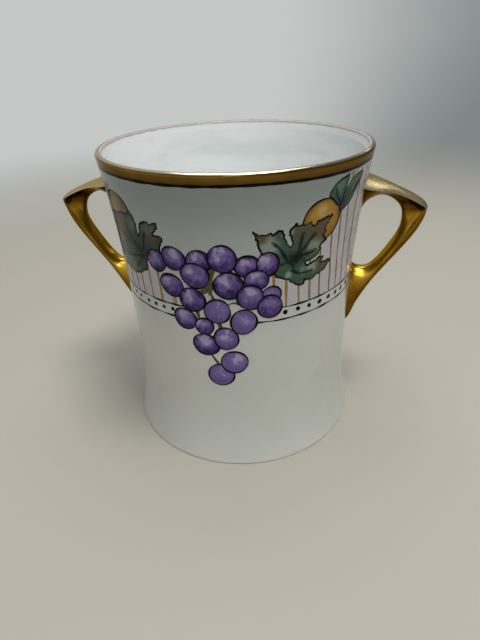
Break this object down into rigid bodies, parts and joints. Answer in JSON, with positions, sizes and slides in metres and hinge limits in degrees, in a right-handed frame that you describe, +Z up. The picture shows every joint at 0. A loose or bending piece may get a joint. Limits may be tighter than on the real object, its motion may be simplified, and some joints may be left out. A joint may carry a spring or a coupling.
{
  "type": "condensed milk holder",
  "caption": "Waisted porcelain holder that hides a tin of condensed milk at the table, with angular gilded handles, a gilded lip, a bare foot ring and a finger hole through the floor.",
  "frame": {"origin": "on the table, under the middle of the cup", "axes": "+X through the right handle, +Y towards the back, +Z up out of the mouth"},
  "size_m": [0.1544, 0.1076, 0.1246],
  "materials": {
    "porcelain": "gloss",
    "gilding": "gloss",
    "bare_clay": "matte"
  },
  "bodies": {
    "root": {"body_shell": "porcelain", "gilded_lip": "gilding", "foot_ring": "bare_clay", "handle_right": "gilding", "handle_left": "gilding"}
  },
  "joints": []
}
